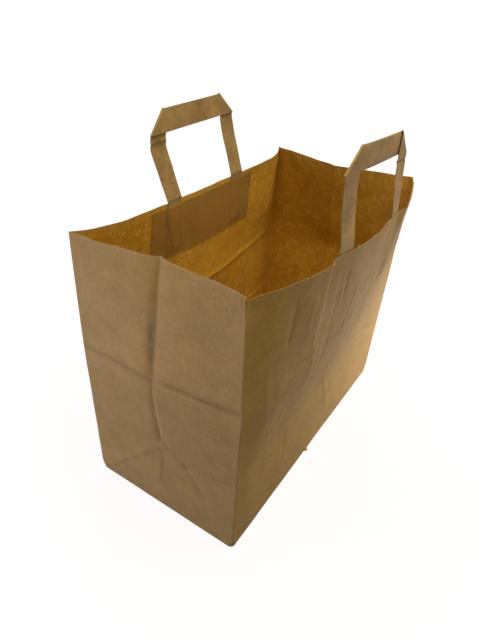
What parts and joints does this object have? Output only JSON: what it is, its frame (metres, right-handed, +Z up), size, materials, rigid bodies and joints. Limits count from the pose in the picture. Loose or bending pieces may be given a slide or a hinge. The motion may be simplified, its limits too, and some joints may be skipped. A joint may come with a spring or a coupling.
{
  "type": "paper carrier bag",
  "caption": "Open block-bottomed carrier bag folded from brown kraft paper, with flat paper tape handles glued inside the long walls under paper patches.",
  "frame": {"origin": "middle of the base fold rectangle, on the surface that the bag stands on", "axes": "+Z up out of the mouth, X along the long walls, Y through the depth with the front wall at -Y"},
  "size_m": [0.332, 0.194, 0.3465],
  "materials": {
    "bag_kraft": "uncoated brown kraft paper with fine fibre flecks, matt",
    "handle_tape": "folded kraft paper tape, matt and smooth",
    "patch_kraft": "plain kraft paper patch, a little greyer than the bag, matt"
  },
  "bodies": {
    "root": {"bag_body": "bag_kraft", "front_handle": "handle_tape", "back_handle": "handle_tape", "front_patch": "patch_kraft", "back_patch": "patch_kraft"}
  },
  "joints": []
}
